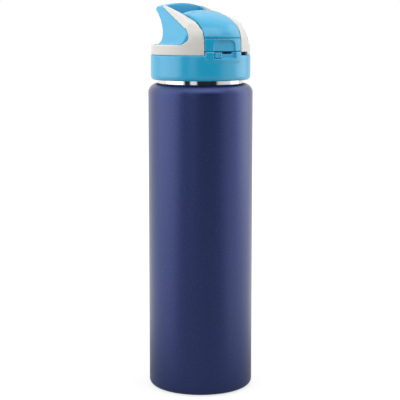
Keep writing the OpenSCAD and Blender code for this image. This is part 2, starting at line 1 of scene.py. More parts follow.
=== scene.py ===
# Drinking bottle: finishes, smooth moulded pieces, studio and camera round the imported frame.
import math
import bpy
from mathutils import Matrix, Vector


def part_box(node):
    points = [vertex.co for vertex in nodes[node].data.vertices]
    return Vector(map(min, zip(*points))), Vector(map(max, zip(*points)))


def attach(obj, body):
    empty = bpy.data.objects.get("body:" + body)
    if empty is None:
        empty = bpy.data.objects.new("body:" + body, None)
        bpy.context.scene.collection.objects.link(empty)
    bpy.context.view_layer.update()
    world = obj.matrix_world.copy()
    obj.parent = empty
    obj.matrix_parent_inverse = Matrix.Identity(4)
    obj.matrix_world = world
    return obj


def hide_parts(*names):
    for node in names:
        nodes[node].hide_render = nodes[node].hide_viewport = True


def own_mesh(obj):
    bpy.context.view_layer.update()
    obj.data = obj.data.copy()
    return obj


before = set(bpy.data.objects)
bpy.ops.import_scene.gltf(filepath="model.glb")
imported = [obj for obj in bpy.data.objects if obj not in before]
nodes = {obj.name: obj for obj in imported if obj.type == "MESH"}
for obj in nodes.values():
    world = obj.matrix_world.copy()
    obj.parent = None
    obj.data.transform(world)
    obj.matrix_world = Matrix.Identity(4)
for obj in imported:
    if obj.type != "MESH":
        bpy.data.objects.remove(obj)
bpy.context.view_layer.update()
mm = 0.001
print("frame loaded:", len(nodes), "solids")


def span(node, axis):
    # the lowest and the highest place of a CAD solid along an axis, in millimetres
    at = "xyz".index(axis)
    return [round(float(corner[at]) / mm, 3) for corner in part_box(node)]


class Wire:
    # one socket of a node tree, with sums and products that add Math nodes
    def __init__(self, sheet, socket):
        self.sheet = sheet
        self.socket = socket

    def calc(self, operation, a, b):
        return self.sheet.add("ShaderNodeMath", {"operation": operation}, {0: a, 1: b})

    def __add__(self, other):
        return self.calc("ADD", self, other)

    def __radd__(self, other):
        return self.calc("ADD", other, self)

    def __sub__(self, other):
        return self.calc("SUBTRACT", self, other)

    def __rsub__(self, other):
        return self.calc("SUBTRACT", other, self)

    def __mul__(self, other):
        return self.calc("MULTIPLY", self, other)

    def __rmul__(self, other):
        return self.calc("MULTIPLY", other, self)

    def clamped(self):
        return self.sheet.add("ShaderNodeClamp", {}, {"Value": self})

    def step(self, low, high):
        # 0 below low and 1 above high, with a soft slope between
        return self.sheet.add("ShaderNodeMapRange", {"interpolation_type": "SMOOTHSTEP"},
                              {"Value": self, "From Min": low, "From Max": high})


class Sheet:
    # a node tree and the coordinates that its patterns are read in
    def __init__(self, tree, coordinates):
        self.tree = tree
        self.place = self.add("ShaderNodeTexCoord", {}, {}, coordinates)

    def feed(self, node, socket, value):
        if isinstance(value, Wire):
            self.tree.links.new(value.socket, node.inputs[socket])
        else:
            node.inputs[socket].default_value = value

    def add(self, kind, settings, values, output=0):
        # a node with its settings made first, and then the values or links of its sockets
        node = self.tree.nodes.new(kind)
        for key, value in settings.items():
            if key == "stops":
                ramp = node.color_ramp.elements
                while len(ramp) < len(value):
                    ramp.new(0.5)
                for stop, (at, color) in zip(ramp, value):
                    stop.position = at
                    stop.color = color
            else:
                setattr(node, key, value)
        for key, value in values.items():
            self.feed(node, key, value)
        return Wire(self, node.outputs[output]) if node.outputs else None

    def height(self):
        return self.add("ShaderNodeSeparateXYZ", {}, {0: self.place}, "Z")

    def stretched(self, x, y, z):
        return self.add("ShaderNodeMapping", {}, {"Vector": self.place, "Scale": (x, y, z)})

    def noise(self, size, detail=3.0, rough=0.5, place=None):
        # grain whose lumps are about size millimetres across
        return self.add("ShaderNodeTexNoise", {},
                        {"Vector": place or self.place, "Scale": 1000 / size,
                         "Detail": detail, "Roughness": rough})

    def cells(self, size):
        return self.add("ShaderNodeTexVoronoi", {}, {"Vector": self.place, "Scale": 1000 / size})

    def blend(self, share, a, b):
        # from colour a to colour b, each a socket or a plain (red, green, blue)
        a, b = (tone if isinstance(tone, Wire) else (*tone, 1) for tone in (a, b))
        return self.add("ShaderNodeMix", {"data_type": "RGBA"}, {0: share, 6: a, 7: b}, 2)


class Finish(Sheet):
    # a new material with one Principled shader, read in Object coordinates
    def __init__(self, name, color, roughness, metallic=0.0, **sockets):
        self.material = bpy.data.materials.new(name)
        self.material.use_nodes = True
        self.material.diffuse_color = (*color, 1)
        super().__init__(self.material.node_tree, "Object")
        self.put("Base Color", (*color, 1))
        self.put("Roughness", roughness)
        self.put("Metallic", metallic)
        for socket, value in sockets.items():
            self.put(socket.replace("_", " "), value)

    def put(self, socket, value):
        self.feed(self.tree.nodes["Principled BSDF"], socket, value)

    def bump(self, height, depth, strength):
        # depth in millimetres
        self.put("Normal", self.add("ShaderNodeBump", {},
                                    {"Height": height, "Distance": depth * mm, "Strength": strength}))


def linear(red, green, blue):
    # colour from the usual 0-255 numbers
    def one(value):
        value /= 255
        return value / 12.92 if value < 0.04045 else ((value + 0.055) / 1.055) ** 2.4
    return one(red), one(green), one(blue)


# sizes of the patterns are in millimetres
powder = {"color": linear(32, 50, 109), "light": linear(37, 55, 115), "fleck": linear(84, 98, 148),
          "worn": linear(120, 124, 136), "metal": 0.74, "rough": 0.4, "coat": 0.6, "coatRough": 0.3,
          "grain": 0.55, "pits": 0.9, "cloud": 45, "fleckSize": 0.5, "fleckShow": 0.45,
          "footRub": (0.4, 2.2), "chips": 1.6, "wornShow": 0.55, "depth": 0.05}


def powderCoat():
    p = powder
    coat = Finish("powder_coat", p["color"], p["rough"], p["metal"],
                  Coat_Weight=p["coat"], Coat_Roughness=p["coatRough"])
    grain = coat.noise(p["grain"], detail=4.0, rough=0.6)
    pits = coat.cells(p["pits"])
    cloud = coat.noise(p["cloud"], detail=2.0)
    fleck = coat.noise(p["fleckSize"], detail=1.0).step(0.6, 0.72)
    low, high = p["footRub"]
    foot = 1 - coat.height().step(low * mm, high * mm)      # paint rubbed where it stands
    worn = (foot * coat.noise(p["chips"], detail=4.0, rough=0.7).step(0.5, 0.62)).clamped()
    base = coat.blend((cloud * 0.5).clamped(), p["color"], p["light"])
    base = coat.blend(fleck * p["fleckShow"], base, p["fleck"])
    coat.put("Base Color", coat.blend(worn * p["wornShow"], base, p["worn"]))
    coat.put("Roughness", (p["rough"] - 0.05) + grain * 0.12 + worn * 0.1)
    coat.bump(grain * 0.7 + pits * 0.5, p["depth"], 0.55)
    return coat.material


moulding = {"flow": 28, "peel": 2.4, "grain": 0.3, "rub": 9, "depth": 0.02}
bluePlastic = {"color": linear(10, 166, 211), "tint": linear(20, 172, 217), "rough": 0.26}
whitePlastic = {"color": linear(221, 218, 213), "tint": linear(215, 212, 207), "rough": 0.34}


def plastic(name, look, **sockets):
    # moulded plastic: faint flow in the colour, orange peel, fine handling marks
    m, rough = moulding, look["rough"]
    skin = Finish(name, look["color"], rough, **sockets)
    flow = skin.noise(m["flow"], detail=3.0, rough=0.55, place=skin.stretched(1, 1, 0.45))
    peel = skin.noise(m["peel"], detail=2.0)
    grain = skin.noise(m["grain"], detail=2.0)
    rub = skin.noise(m["rub"], detail=5.0, rough=0.7).step(0.56, 0.72)
    skin.put("Base Color", skin.blend((flow * 0.8).clamped(), look["color"], look["tint"]))
    skin.put("Roughness", (rough - 0.04) + rub * 0.09 + grain * 0.05)
    skin.bump(peel * 0.7 + grain * 0.3, m["depth"], 0.5)
    return skin.material


polished = {"color": (0.8, 0.8, 0.82), "rough": 0.02, "lines": 0.5, "depth": 0.003}
brushed = {"color": (0.6, 0.6, 0.62), "rough": 0.3, "lines": 0.35, "depth": 0.03}
smearing = {"size": 14, "dull": 0.86, "show": 0.35}


def turnedSteel(name, look):
    # steel with the fine rings that turning or spinning leaves
    steel = Finish(name, look["color"], look["rough"], 1.0)
    rings = steel.noise(look["lines"], detail=3.0, rough=0.6, place=steel.stretched(0.04, 0.04, 1.0))
    smear = steel.noise(smearing["size"], detail=3.0)
    dull = [tone * smearing["dull"] for tone in look["color"]]
    steel.put("Base Color", steel.blend(smear * smearing["show"], look["color"], dull))
    steel.put("Roughness", look["rough"] + rings * 0.04 + smear.step(0.5, 0.8) * 0.04)
    steel.bump(rings, look["depth"], 0.4)
    return steel.material


rubber = {"color": linear(226, 231, 233), "light": linear(232, 236, 237), "shade": linear(214, 221, 225),
          "rough": (0.44, 0.18), "dust": 0.9, "haze": 12, "depth": 0.02}


def silicone():
    skin = Finish("silicone", rubber["color"], 0.5, Specular_IOR_Level=0.35)
    dust = skin.noise(rubber["dust"], detail=4.0, rough=0.65)
    haze = skin.noise(rubber["haze"], detail=2.0)
    low, spread = rubber["rough"]
    skin.put("Base Color", skin.blend(haze * 0.6, rubber["light"], rubber["shade"]))
    skin.put("Roughness", low + dust * spread)
    skin.bump(dust, rubber["depth"], 0.4)
    return skin.material


getterMetal = {"color": (0.3, 0.3, 0.32), "metal": 1.0, "low": (0.18, 0.18, 0.2),
               "high": (0.42, 0.42, 0.44), "rough": (0.5, 0.2), "lumps": 0.5, "depth": 0.15,
               "strength": 0.8}
solderGlass = {"color": (0.05, 0.055, 0.06), "metal": 0.0, "low": (0.03, 0.035, 0.04),
               "high": (0.1, 0.11, 0.12), "rough": (0.08, 0.12), "grain": 1.2, "depth": 0.04,
               "strength": 0.5}
springWire = {"color": (0.5, 0.5, 0.52), "metal": 1.0, "low": (0.42, 0.42, 0.44),
              "high": (0.62, 0.62, 0.64), "rough": (0.22, 0.2), "grain": 0.4, "depth": 0.02,
              "strength": 0.5}


def mottled(name, look, **sockets):
    # one fine pattern moves the colour, the roughness and the surface together
    low, spread = look["rough"]
    skin = Finish(name, look["color"], low, look["metal"], **sockets)
    grain = skin.cells(look["lumps"]) if "lumps" in look else skin.noise(look["grain"], detail=3.0)
    skin.put("Base Color", skin.blend(grain, look["low"], look["high"]))
    skin.put("Roughness", low + grain * spread)
    skin.bump(grain, look["depth"], look["strength"])
    return skin.material


finishes = {
    "powder": powderCoat(),
    "blue": plastic("blue_plastic", bluePlastic, Specular_IOR_Level=1.0),
    "white": plastic("white_plastic", whitePlastic),
    "polished": turnedSteel("polished_steel", polished),
    "steel": turnedSteel("steel", brushed),
    "silicone": silicone(),
    "getter": mottled("getter_metal", getterMetal),
    "glass": mottled("solder_glass", solderGlass, Coat_Weight=0.6),
    "wire": mottled("spring_steel", springWire),
}

nodeFinish = {
    "outer_shell": "powder", "outer_base": "steel", "vacuum_plug": "glass", "getter": "getter",
    "liner": "polished", "liner_bottom": "steel", "neck_gasket": "silicone", "collar": "blue",
    "ring_and_rails": "white", "handle": "blue", "spout": "silicone", "spout_retainer": "blue",
    "air_valve": "silicone", "hinge_pin": "wire", "lid_spring": "wire", "button_spring": "wire",
    "lock_slider": "blue", "push_button": "blue", "lid_shell": "blue", "lid_liner": "white",
    "lid_seal": "silicone",
}
for name, finish in nodeFinish.items():
    solid = nodes[name]
    if not solid.material_slots:
        solid.data.materials.append(finishes[finish])
    for slot in solid.material_slots:
        slot.material = finishes[finish]
print("finishes on the solids:", len(nodeFinish))


# modelling by operators, with sizes in millimetres
def quietScene():
    if bpy.context.object and bpy.context.object.mode != "OBJECT":
        bpy.ops.object.mode_set(mode="OBJECT")
    bpy.ops.object.select_all(action="DESELECT")


def takeUp(piece):
    quietScene()
    piece.select_set(True)
    bpy.context.view_layer.objects.active = piece


def drawLine(name, points):
    # a chain of edges, drawn by pulling one vertex out of the last
    quietScene()
    bpy.ops.mesh.primitive_plane_add(size=mm, location=Vector(points[0]) * mm)
    piece = bpy.context.object
    piece.name = name
    bpy.ops.object.transform_apply(location=True, rotation=False, scale=False)
    bpy.ops.object.mode_set(mode="EDIT")
    bpy.ops.mesh.select_mode(type="VERT")
    bpy.ops.mesh.select_all(action="SELECT")
    bpy.ops.mesh.merge(type="CENTER")
    for here, there in zip(points, points[1:]):
        step = (Vector(there) - Vector(here)) * mm
        bpy.ops.mesh.extrude_region_move(TRANSFORM_OT_translate={"value": step})
    bpy.ops.mesh.select_all(action="SELECT")
    return piece


def tidyMesh():
    bpy.ops.mesh.select_all(action="SELECT")
    bpy.ops.mesh.remove_doubles(threshold=0.0005 * mm)
    bpy.ops.mesh.normals_make_consistent(inside=False)
    bpy.ops.object.mode_set(mode="OBJECT")


def plateFrom(name, points, along):
    # a closed outline filled and pulled out along a vector
    piece = drawLine(name, points)
    bpy.ops.mesh.edge_face_add()
    bpy.ops.mesh.extrude_region_move(TRANSFORM_OT_translate={"value": Vector(along) * mm})
    tidyMesh()
    return piece


def turned(name, profile, steps=160):
    # a profile of (radius, height) spun round the bottle's axis
    piece = drawLine(name, [(r, 0, z) for r, z in profile])
    bpy.ops.mesh.spin(steps=steps, angle=math.tau, center=(0, 0, 0), axis=(0, 0, 1))
    tidyMesh()
    return piece


def brick(name, low, high):
    quietScene()
    middle = (Vector(low) + Vector(high)) / 2 * mm
    bpy.ops.mesh.primitive_cube_add(size=1, location=middle, scale=(Vector(high) - Vector(low)) * mm)
    piece = bpy.context.object
    piece.name = name
    bpy.ops.object.transform_apply(location=True, rotation=True, scale=True)
    return piece


def peg(name, place, radius, length, axis="Z"):
    quietScene()
    turn = {"X": (0, math.pi / 2, 0), "Y": (-math.pi / 2, 0, 0), "Z": (0, 0, 0)}[axis]
    bpy.ops.mesh.primitive_cone_add(vertices=64, radius1=radius * mm, radius2=radius * mm,
                                    depth=length * mm, location=Vector(place) * mm, rotation=turn)
    piece = bpy.context.object
    piece.name = name
    bpy.ops.object.transform_apply(location=True, rotation=True, scale=True)
    return piece


def join(piece, other, operation="UNION"):
    # one solid from two, by a Boolean
    takeUp(piece)
    cut = piece.modifiers.new("join", "BOOLEAN")
    cut.operation = operation
    cut.object = other
    cut.solver = "EXACT"
    bpy.ops.object.modifier_apply(modifier=cut.name)
    bpy.data.objects.remove(other)
    return piece


def cutAway(piece, *others):
    for other in others:
        join(piece, other, "DIFFERENCE")


def keepWithin(piece, other):
    return join(piece, other, "INTERSECT")


def moulded(piece, voxel, rounds):
    # an even skin, with every edge eased as a mould leaves it
    takeUp(piece)
    skin = piece.modifiers.new("skin", "REMESH")
    skin.mode = "VOXEL"
    skin.voxel_size = voxel * mm
    bpy.ops.object.modifier_apply(modifier=skin.name)
    ease = piece.modifiers.new("ease", "SMOOTH")
    ease.factor = 0.5
    ease.iterations = rounds
    bpy.ops.object.modifier_apply(modifier=ease.name)
    bpy.ops.object.shade_smooth()


def easeWhere(piece, chosen, rounds):
    # rubs down the vertices that chosen(place in millimetres, normal) picks
    takeUp(piece)
    for vertex in piece.data.vertices:
        vertex.select = bool(chosen(vertex.co / mm, vertex.normal))
    bpy.ops.object.mode_set(mode="EDIT")
    bpy.ops.mesh.select_mode(type="VERT")
    bpy.ops.mesh.vertices_smooth(factor=0.5, repeat=rounds)
    bpy.ops.object.mode_set(mode="OBJECT")


def shadeBy(piece, angle):
    takeUp(piece)
    bpy.ops.object.shade_smooth_by_angle(angle=math.radians(angle))


def dress(piece, finish, body, slot, *replaced):
    piece.data.materials.clear()
    piece.data.materials.append(finishes[finish])
    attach(piece, body)
    if replaced:
        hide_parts(*replaced)
    print("piece:", piece.name, len(piece.data.polygons), "faces")


def arc(cx, cy, radius, start, stop, count):
    # points on an arc, by degrees
    angles = [math.radians(start + (stop - start) * i / count) for i in range(count + 1)]
    return [(cx + radius * math.cos(a), cy + radius * math.sin(a)) for a in angles]


def curve(a, b, c, count):
    # a quadratic curve from a to c, pulled towards b
    shares = [i / count for i in range(count + 1)]
    return [tuple((1 - t) ** 2 * a[k] + 2 * t * (1 - t) * b[k] + t * t * c[k] for k in (0, 1))
            for t in shares]


thread = {"turns": 1.5, "pitch": 4, "root": 1, "crest": 0.45, "steps": 96, "smoothTo": 30}


def threadOn(name, root, crest, low):
    # a trapezoid wound round the axis, its ends drawn down to the root
    t = thread
    section = [(root, 0, low - t["root"]), (crest, 0, low - t["crest"]), (crest, 0, low + t["crest"]),
               (root, 0, low + t["root"]), (root, 0, low - t["root"])]
    ridge = drawLine(name, section)
    bpy.ops.mesh.remove_doubles(threshold=0.001 * mm)
    bpy.ops.object.mode_set(mode="OBJECT")
    wind = ridge.modifiers.new("wind", "SCREW")
    wind.axis = "Z"
    wind.angle = math.tau * t["turns"]
    wind.screw_offset = t["pitch"] * t["turns"] * mm
    wind.steps = wind.render_steps = t["steps"]
    bpy.ops.object.modifier_apply(modifier=wind.name)
    bpy.ops.object.mode_set(mode="EDIT")
    bpy.ops.mesh.select_all(action="DESELECT")
    bpy.ops.mesh.select_mode(type="EDGE")
    bpy.ops.mesh.select_non_manifold()
    bpy.ops.transform.resize(value=(root / crest, root / crest, 1), center_override=(0, 0, 0))
    bpy.ops.mesh.edge_face_add()
    tidyMesh()
    shadeBy(ridge, t["smoothTo"])
    return ridge


flask = {"radius": span("outer_shell", "x")[1], "shoulder": span("outer_shell", "z")[1], "wall": 0.6,
         "shoulderRound": 6.9, "baseRound": 4, "foot": 30.7, "footRound": 0.3, "recess": 1.6,
         "mouthGap": 0.1, "mouthEdge": 0.05, "rings": range(20, 205, 23), "steps": 192, "smoothTo": 40}
neck = {"radius": 29.4, "liner": span("liner", "x")[1], "foot": span("liner", "z")[0],
        "rim": span("liner", "z")[1], "wall": 0.6, "lip": 2, "lipFoot": 0.4, "taper": (201.2, 210.2),
        "ease": 2, "thread": 1.3, "threadFrom": 220.6, "rings": range(40, 200, 26), "steps": 192,
        "smoothTo": 35}


def makeShell():
    f = flask
    wall, foot, recess = f["wall"], f["foot"], f["recess"] + f["wall"]
    top = f["shoulder"] - f["shoulderRound"]
    centre = f["radius"] - f["shoulderRound"]
    heel = f["radius"] - f["baseRound"]
    mouth = neck["radius"] + f["mouthGap"]
    profile = ([(foot, recess), (foot, f["footRound"]), (foot + f["footRound"], 0)]
               + arc(heel, f["baseRound"], f["baseRound"], -90, 0, 12)
               + [(f["radius"], z) for z in f["rings"]]
               + arc(centre, top, f["shoulderRound"], 0, 90, 20)
               + [(mouth + f["mouthEdge"], f["shoulder"]), (mouth, f["shoulder"] - 2 * f["mouthEdge"]),
                  (mouth, f["shoulder"] - wall)]
               + arc(centre, top, f["shoulderRound"] - wall, 90, 0, 12)
               + arc(heel, f["baseRound"], f["baseRound"] - wall, 0, -90, 8)
               + [(foot + wall, wall), (foot + wall, recess), (foot, recess)])
    shell = turned("flask_shell", profile, f["steps"])
    shadeBy(shell, f["smoothTo"])
    dress(shell, "powder", "flask", "powder_coat", "outer_shell")


def makeNeck():
    # the inner wall, drawn in to the neck and rolled over at the mouth
    n = neck
    low, high = n["taper"]
    rim, inner, half = n["rim"] - n["lip"] / 2, n["radius"] - n["wall"], n["lip"] / 2
    bore = n["liner"] - n["wall"]

    def taper(wide, narrow):
        # an easy S from the wide wall to the narrow one
        middle = ((wide + narrow) / 2, (low + high) / 2)
        return (curve((wide, low), (wide, low + n["ease"]), middle, 6)
                + curve(middle, (narrow, high - n["ease"]), (narrow, high), 6)[1:])

    profile = ([(n["liner"], n["foot"])] + [(n["liner"], z) for z in n["rings"]]
               + taper(n["liner"], n["radius"])
               + arc(n["radius"] - half, rim, half, 0, 180, 14)
               + [(n["radius"] - n["lip"], n["rim"] - n["lip"]),
                  (inner, n["rim"] - n["lip"] - n["lipFoot"])]
               + taper(bore, inner)[::-1] + [(bore, n["foot"]), (n["liner"], n["foot"])])
    wall = turned("neck_wall", profile, n["steps"])
    join(wall, threadOn("neckThread", n["radius"] - n["wall"] / 2, n["radius"] + n["thread"],
                        n["threadFrom"]))
    shadeBy(wall, n["smoothTo"])
    dress(wall, "polished", "flask", "polished_steel", "liner")


makeShell()
makeNeck()


# the cap's shape as rails, handle and lid share it: u is a height above the collar's top, the seat
cap = {"radius": span("ring_and_rails", "y")[1], "ring": 7.1, "wall": 2.2, "seam": 0.1, "deck": 0.2,
       "proud": 0.6, "slot": 14.4, "domeFoot": 5.2, "domeTop": 30.7, "upright": 20,
       "tipRound": 4, "tipDeep": 6.6, "tipCrown": 49, "lip": 1.5, "leastRound": (0.5, 0.2), "ledge": 0.3,
       "bridge": 25.5, "sink": 2,
       "side": 21, "lean": 0.44, "leanFrom": 21.75, "cove": 5,
       "scoop": 10.6, "scoopRound": 3.6, "scoopPull": (3.4, 11.6), "underPull": (3, 0.8),
       "bend": -20, "browPull": (-25.2, 20.9), "browFoot": (-29.3, 16), "browHeel": (2.2, 7),
       "railTop": (28.2, 0.262, -0.00105), "railLow": (24.3, 0.332), "railStep": 3,
       "vent": 2.1, "ventTurn": 24, "ventWide": 9.5}
cap["seat"] = round(span("ring_and_rails", "z")[0] - cap["seam"], 3)


def above(node):
    # a solid's foot and top as heights above the seat
    return [round(z - cap["seat"], 3) for z in span(node, "z")]


cap["tip"] = above("handle")[1] + cap["proud"]
cap["reach"] = span("handle", "y")[1] + cap["proud"]
hinge = {"y": sum(span("hinge_pin", "y")) / 2, "u": sum(above("hinge_pin")) / 2,
         "pin": above("hinge_pin")[1] - above("hinge_pin")[0], "half": span("hinge_pin", "x")[1]}
# what only cuts or clips runs this far, past the cap on every side
beyond = 73


def sideAt(u):
    return cap["side"] - cap["lean"] * (u - cap["leanFrom"])


def railTop(y):
    level, slope, bow = cap["railTop"]
    return level + slope * y + bow * y * y


def railLow(y):
    level, slope = cap["railLow"]
    return level + slope * y


def domeRadius(share, inset=0):
    return (cap["radius"] - inset) * (1 - share ** 3) ** (2 / 3)


def domeProfile(inset, shares):
    # the dome's outline up to a share of its height
    rise = cap["domeTop"] - cap["domeFoot"] - inset
    return [(domeRadius(t, inset), cap["domeFoot"] + rise * t) for t in shares]


def wholeDome(inset, count=24):
    return domeProfile(inset, [math.sin(math.pi / 2 * i / count) for i in range(count + 1)])


def lifted(piece):
    # from heights above the collar to the bottle's own heights
    takeUp(piece)
    bpy.ops.transform.translate(value=(0, 0, cap["seat"] * mm))
    bpy.ops.object.transform_apply(location=True, rotation=False, scale=False)
    return piece


def frontOutline(inset):
    # the handle and its rails seen from the front: leaning sides between coves and a rounded top
    c = cap
    slope = math.sqrt(1 + c["lean"] ** 2)
    lean = math.degrees(math.atan(c["lean"]))
    coveU = c["ring"] + c["cove"]
    coveX = sideAt(coveU) + c["cove"] * slope
    edge = max(c["tipRound"] - inset, c["leastRound"][0])
    edgeU = c["tip"] - inset - edge
    edgeX = sideAt(edgeU) - (inset + edge) * slope
    half = ([(c["radius"] + 1, -c["sink"] - inset / 8), (c["radius"] + 1, c["ring"] - inset)]
            + arc(coveX, coveU, c["cove"] + inset, 270, 180 + lean, 10)
            + arc(edgeX, edgeU, edge, lean, 90, 10))
    return half + [(-x, u) for x, u in reversed(half)]


def sideOutline(inset):
    # the same from the side: brow, rail, bridge with its tip, and the scoop under the tip
    c = cap
    reach, ring, bridge, bend = c["reach"] - inset, c["ring"], c["bridge"], c["bend"]
    under, ledge = c["tip"] - c["tipDeep"] + inset, c["tip"] - inset + c["ledge"]
    top, lip = (max(c[name] - inset, least) for name, least in zip(("tipRound", "lip"), c["leastRound"]))
    low, high = -c["radius"] - 2, c["radius"] + 2
    (browY, browU), (footY, footU), (heelY, heelU) = c["browPull"], c["browFoot"], c["browHeel"]
    scoop, curl, (pullY, pullU), (underY, underU) = (c["scoop"], c["scoopRound"], c["scoopPull"],
                                                     c["underPull"])
    rows = [bend + c["railStep"] * i for i in range(1, int((bridge - 1 - bend) / c["railStep"]) + 1)]
    brow = curve((footY + inset, footU), (browY + inset / 2, browU - inset / 2),
                 (bend, railTop(bend) - inset), 10)
    return ([(low, -beyond), (low, ring - c["seam"]), (footY - heelY + inset, footU - heelU)] + brow
            + [(y, railTop(y) - inset) for y in rows]
            + [(bridge, railTop(bridge) - inset), (bridge + 1, ledge), (reach - top, ledge)]
            + arc(reach - top, c["tip"] - inset - top, top, 80, 0, 8)
            + arc(reach - lip, under + lip, lip, 0, -60, 4)
            + curve((reach - underY, under - underU), (scoop + pullY - inset, ring + pullU + inset),
                    (scoop - inset, ring + curl), 16)
            + arc(scoop + curl, ring + curl, curl + inset, 190, 270, 6)
            + [(high, ring - inset), (high, -beyond)])


def handleBlock(name, inset):
    # handle and rails in one solid, inset by a wall for the hollow
    c = cap
    r, crown = c["radius"], c["tipCrown"]
    block = plateFrom(name, [(x, -beyond, u) for x, u in frontOutline(inset)], (0, 2 * beyond, 0))
    keepWithin(block, plateFrom("sideCut", [(-r - 2, y, u) for y, u in sideOutline(inset)],
                                (2 * r + 4, 0, 0)))
    share = (c["upright"] - c["domeFoot"]) / (c["domeTop"] - c["domeFoot"])
    high = domeProfile(inset, [share * i / 12 for i in range(13)])
    front = turned("front", [(0, -4), (r - inset, -4)] + high + [(high[-1][0], 40), (0, 40)], 128)
    join(front, brick("rear", (-r, -5, -5), (r, c["reach"] + 1, 42)))
    keepWithin(block, front)
    return keepWithin(block, peg("crown", (0, 0, c["tip"] - crown), crown - inset, 2 * beyond, "Y"))


def vent(name, inner):
    slot = brick(name, (inner, 0, -1), (cap["radius"] + 3, cap["ventWide"], cap["deck"] + cap["vent"]))
    takeUp(slot)
    # a script without a window turns the other way
    bpy.ops.object.mode_set(mode="EDIT")
    bpy.ops.mesh.select_all(action="SELECT")
    bpy.ops.transform.rotate(value=math.radians(90 - cap["ventTurn"]), orient_axis="Z",
                             center_override=(0, 0, 0))
    bpy.ops.object.mode_set(mode="OBJECT")
    return slot


rail = {"post": -24.1, "postRound": 5.4, "postEase": (0.4, 0.8), "sweep": 3.5, "soft": 0.25,
        "zoneHalf": 36.4, "zoneBack": -37, "zoneTop": 41, "zoneSink": 2, "voxel": 0.3, "rounds": 7,
        "crease": 3.5, "creaseRounds": 60, "creaseFrom": (9, 23.5), "creaseTop": 0.58, "creaseFront": -12,
        "creaseSide": 17.5,
        "brow": ((14.4, -25.1, 20.8), (21, -20.2, 22.4)), "browEase": ((4, 25), (2.5, 25))}


def railZone(name, grow):
    # what is white of the block: the post in front, the rail and the way back to the bridge
    bridge, post, rounding = cap["bridge"] + grow, rail["post"] + grow, rail["postRound"]
    half, back, top, ring = rail["zoneHalf"], rail["zoneBack"], rail["zoneTop"], cap["ring"]
    foot, (upper, lower) = ring - rail["zoneSink"], rail["postEase"]
    corner = rail["post"] + rounding
    start = corner + rail["sweep"] + grow
    outline = ([(bridge, top), (bridge, railLow(cap["bridge"]) - grow)]
               + curve((start, railLow(start) - grow), (post, railLow(rail["post"]) - grow),
                       (post, ring + rounding - upper), 14)
               + curve((post, ring + lower * rounding), (post, ring - grow),
                       (corner + grow, ring - grow), 10)
               + [(corner + grow, foot), (back, foot), (back, top)])
    return plateFrom(name, [(-half, y, u) for y, u in outline], (2 * half, 0, 0))


def onCrease(place, normal):
    # near the line where the rail's side meets the dome's front
    reach, (low, high) = rail["crease"], rail["creaseFrom"]
    x, y, u = abs(place.x), place.y, place.z - cap["seat"]
    if not low < u < high or y > rail["creaseFront"]:
        return False
    share = min(max((u - cap["domeFoot"]) / (cap["domeTop"] - cap["domeFoot"]), 0), rail["creaseTop"])
    flat = sideAt(u)
    middle = -math.sqrt(max(domeRadius(share) ** 2 - flat ** 2, 1))
    return abs(y - middle) < reach and abs(x - flat) < reach and x > rail["creaseSide"]


def onBrow(place, normal, reach):
    # near the line where the rail's top meets the dome's front, on the outside alone
    if normal.z < -0.2 or normal.y > 0.4:
        return False
    start, end = (Vector(point) for point in rail["brow"])
    along = (end - start).normalized()
    here = Vector((abs(place.x), place.y, place.z - cap["seat"])) - start
    return (here - along * here.dot(along)).length < reach


def makeRails():
    r, wall, seam, slot, ring = (cap[name] for name in ("radius", "wall", "seam", "slot", "ring"))
    soft = rail["soft"]
    section = [(r - wall, seam), (r - soft, seam), (r, seam + soft), (r, ring - 2 * soft),
               (r - 2 * soft, ring), (r - wall, ring), (r - wall, seam)]
    rails = turned("white_rails", section)
    band = handleBlock("band", 0)
    cutAway(band, handleBlock("hollow", wall))
    keepWithin(band, railZone("zone", 0))
    join(rails, band)
    cutAway(rails, brick("slot", (-slot, -r - 2, -1), (slot, cap["bridge"] + 1, rail["zoneTop"])))
    cutAway(rails, vent("vent", r - wall - 2))
    moulded(lifted(rails), rail["voxel"], rail["rounds"])
    easeWhere(rails, onCrease, rail["creaseRounds"])
    for reach, rounds in rail["browEase"]:
        easeWhere(rails, lambda place, normal: onBrow(place, normal, reach), rounds)
    dress(rails, "white", "cap", "white_plastic", "ring_and_rails")


handle = {"front": 4.9, "hingeWall": 2.6, "top": 22.5, "pinPlay": 0.02, "pinGap": 0.1, "ventDeep": 6,
          "voxel": 0.385, "rounds": 7}


def makeHandle():
    c, front, proud = cap, handle["front"], cap["proud"]
    slot, bed, top = c["slot"], c["deck"] + c["seam"], c["ring"] + c["seam"]
    core = c["radius"] - c["wall"] - c["seam"]
    grip = handleBlock("carry_handle", proud)
    cutAway(grip, railZone("zone", c["seam"]))
    join(grip, handleBlock("inner", c["wall"] + c["seam"]))
    # the core runs down inside the ring, and the rest stays above it
    keepWithin(grip, turned("keep", [(0, bed), (core, bed), (core, top), (beyond, top), (beyond, beyond),
                                     (0, beyond)]))
    cutAway(grip,
            brick("front", (-slot, -beyond, -beyond), (slot, front, beyond)),
            brick("top", (-slot, front - 1, handle["top"]), (slot, c["bridge"], beyond)),
            brick("loop", (-slot, front + handle["hingeWall"], c["ring"] - proud),
                  (slot, c["bridge"], beyond)),
            peg("pinHole", (0, hinge["y"], hinge["u"]), hinge["pin"] / 2 + handle["pinPlay"],
                2 * (hinge["half"] + handle["pinGap"]), "X"),
            vent("vent", core - handle["ventDeep"]))
    moulded(lifted(grip), handle["voxel"], handle["rounds"])
    dress(grip, "blue", "cap", "blue_plastic", "handle")


makeRails()
makeHandle()


